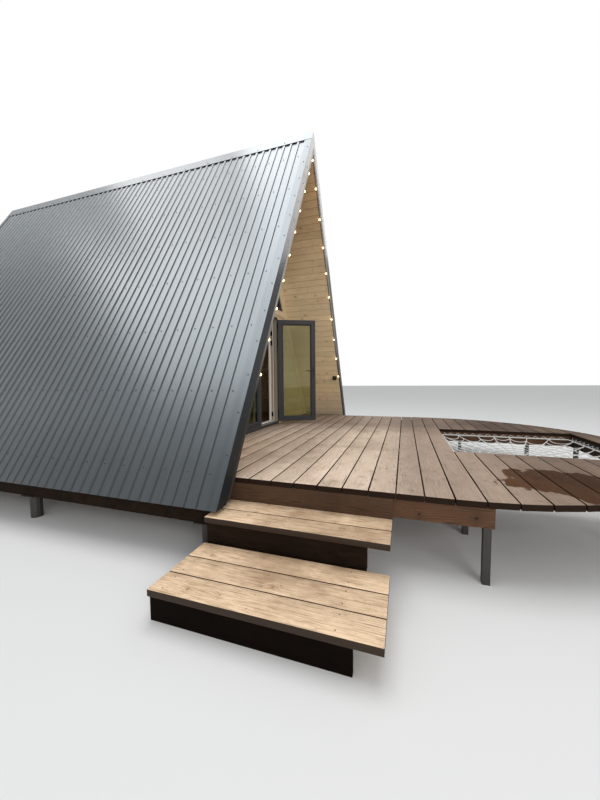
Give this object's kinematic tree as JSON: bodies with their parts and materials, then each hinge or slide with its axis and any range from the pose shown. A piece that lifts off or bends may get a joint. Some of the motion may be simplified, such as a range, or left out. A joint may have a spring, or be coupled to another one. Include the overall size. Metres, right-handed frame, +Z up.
{
  "type": "a-frame cabin with deck",
  "caption": "Timber A-frame cabin under a ribbed metal roof, with a glazed door in a recessed gable, a lamp string, a round-ended deck with a rope net, and steps.",
  "frame": {"origin": "middle of the foot of the deck post under the middle of the roof's front edge, at ground level", "axes": "+X across the gable to the right as seen from the deck, +Y from the porch to the back, +Z up"},
  "size_m": [6.2841, 11.0065, 5.2078],
  "materials": {
    "black_metal": "black coating",
    "black_plastic": "black",
    "brown_cable": "matt sheath",
    "dark_steel": "dark coating",
    "dark_timber": "dark stained timber",
    "deck_boards": "weathered boards",
    "frame_anthracite": "foil faced profile",
    "frame_white": "white profile",
    "lamp_glass": "warm frosted glass",
    "pine_lining": "oiled pine boards",
    "pine_wall": "oiled pine boards",
    "roof_steel": "graphite satin coating",
    "rope": "braided rope",
    "step_boards": "weathered boards",
    "structural_timber": "stained timber",
    "window_glass": "clear glass"
  },
  "bodies": {
    "cabin": {"barge_boards": "pine_wall", "deck_boards": "deck_boards", "deck_fascia": "dark_timber", "deck_joists": "dark_timber", "deck_posts": "dark_steel", "door_casing": "pine_wall", "door_frame": "frame_anthracite", "door_inner_trim": "frame_white", "door_lining": "pine_wall", "eave_strips": "roof_steel", "fixed_light_glass": "window_glass", "fixed_light_sash": "frame_anthracite", "floor": "structural_timber", "floor_beams": "structural_timber", "frame_hinges": "black_metal", "front_trims": "pine_wall", "front_wall_gable": "pine_wall", "front_wall_left": "pine_wall", "front_wall_right": "pine_wall", "front_window_frame": "frame_anthracite", "front_window_glass": "window_glass", "lamp_bulbs": "lamp_glass", "lamp_cable": "brown_cable", "lamp_holders": "black_plastic", "left_lining": "pine_lining", "left_roof_panel": "structural_timber", "left_roof_sheet": "roof_steel", "net_headers": "dark_timber", "piles": "dark_steel", "rake_flashings": "roof_steel", "rear_trims": "pine_wall", "rear_wall": "pine_wall", "rear_window_frame": "frame_anthracite", "rear_window_glass": "window_glass", "ridge_cap": "roof_steel", "right_lining": "pine_lining", "right_roof_panel": "structural_timber", "right_roof_sheet": "roof_steel", "rope_net": "rope", "socket_box": "black_plastic", "step_carriers": "dark_timber", "step_risers": "dark_timber", "step_treads": "step_boards"},
    "door": {"door_leaf": "frame_anthracite", "door_glass": "window_glass", "door_handle": "black_metal", "door_hinges": "black_metal"}
  },
  "joints": [
    {"name": "door_hinge", "type": "hinge", "parent": "cabin", "child": "door", "pos_m": [0.691, 0.92, 1.6], "axis": [0, 0, 1], "range_deg": [-116.7, 25]}
  ]
}
